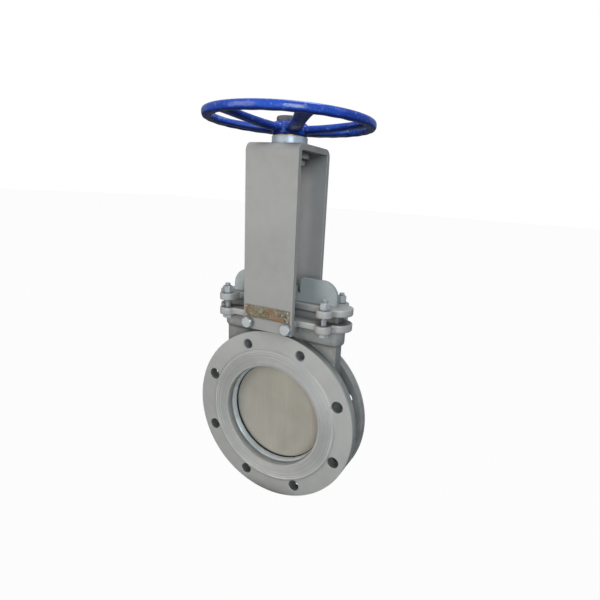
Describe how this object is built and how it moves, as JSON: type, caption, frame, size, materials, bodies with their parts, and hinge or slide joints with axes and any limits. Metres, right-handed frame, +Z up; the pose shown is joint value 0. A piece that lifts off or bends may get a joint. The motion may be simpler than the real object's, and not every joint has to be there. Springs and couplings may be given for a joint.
{
  "type": "knife gate valve",
  "caption": "Wafer knife gate valve: round flanged body, flat sliding gate, plate yoke, rising stem and spoked handwheel.",
  "frame": {"origin": "centre of the flow bore, midway between the two raised faces", "axes": "+Y along the pipe from the seat side to the back, +Z up the stem, +X to the right seen from the seat side"},
  "size_m": [0.34, 0.2856, 0.7066],
  "materials": {
    "grey_paint": "sprayed grey enamel over casting and plate, satin",
    "zinc_fasteners": "zinc-plated steel with overspray of the grey paint",
    "stainless": "ground stainless sheet, satin",
    "seat_metal": "turned stainless",
    "rubber": "black EPDM, matt",
    "packing": "braided PTFE packing",
    "slide_plastic": "white nylon",
    "bronze": "turned bronze",
    "bush_steel": "turned and zinc-plated steel",
    "blue_enamel": "glossy blue enamel over rough casting",
    "dark_steel": "bare steel, brown-grey oxide",
    "data_plate": "stamped bronze-coloured plate, blank"
  },
  "bodies": {
    "root": {"body": "grey_paint", "seat_ring": "seat_metal", "seat_seal": "rubber", "gate_slider_left": "slide_plastic", "gate_slider_right": "slide_plastic", "gland": "grey_paint", "yoke": "grey_paint", "data_plate": "data_plate", "bearing_bush": "bush_steel", "bush_retainer": "bush_steel", "thrust_washer_lower": "bronze", "thrust_washer_upper": "bronze", "packing_ring_1": "packing", "packing_ring_2": "packing", "packing_ring_3": "packing", "gland_bolt_1": "zinc_fasteners", "gland_nut_1": "zinc_fasteners", "yoke_bolt_1": "grey_paint", "plate_rivet_1": "zinc_fasteners", "gland_bolt_2": "zinc_fasteners", "gland_nut_2": "zinc_fasteners", "yoke_bolt_2": "grey_paint", "plate_rivet_2": "zinc_fasteners", "gland_bolt_3": "zinc_fasteners", "gland_nut_3": "zinc_fasteners", "yoke_bolt_3": "grey_paint", "plate_rivet_3": "zinc_fasteners", "gland_bolt_4": "zinc_fasteners", "gland_nut_4": "zinc_fasteners", "yoke_bolt_4": "grey_paint", "plate_rivet_4": "zinc_fasteners"},
    "wheel": {"handwheel": "blue_enamel", "wheel_locknut": "dark_steel", "stem_nut": "bronze", "wheel_key": "dark_steel", "thrust_collar": "grey_paint", "collar_screw": "dark_steel"},
    "gate_lifter": {"gate": "stainless", "stem": "stainless", "stem_clevis": "zinc_fasteners", "clevis_bolt_1": "zinc_fasteners", "clevis_nut_1": "zinc_fasteners", "clevis_bolt_2": "zinc_fasteners", "clevis_nut_2": "zinc_fasteners"}
  },
  "joints": [
    {"name": "handwheel_turn", "type": "hinge", "parent": "root", "child": "wheel", "pos_m": [0, 0, 0.517], "axis": [0, 0, 1], "range_deg": [0, 14760]},
    {"name": "gate_lift", "type": "slide", "parent": "root", "child": "gate_lifter", "axis": [0, 0, 1], "range_m": [0, 0.2051]}
  ],
  "couplings": [
    {"joint": "gate_lift", "follows": "handwheel_turn", "m_per_rad": 0.00079577}
  ]
}
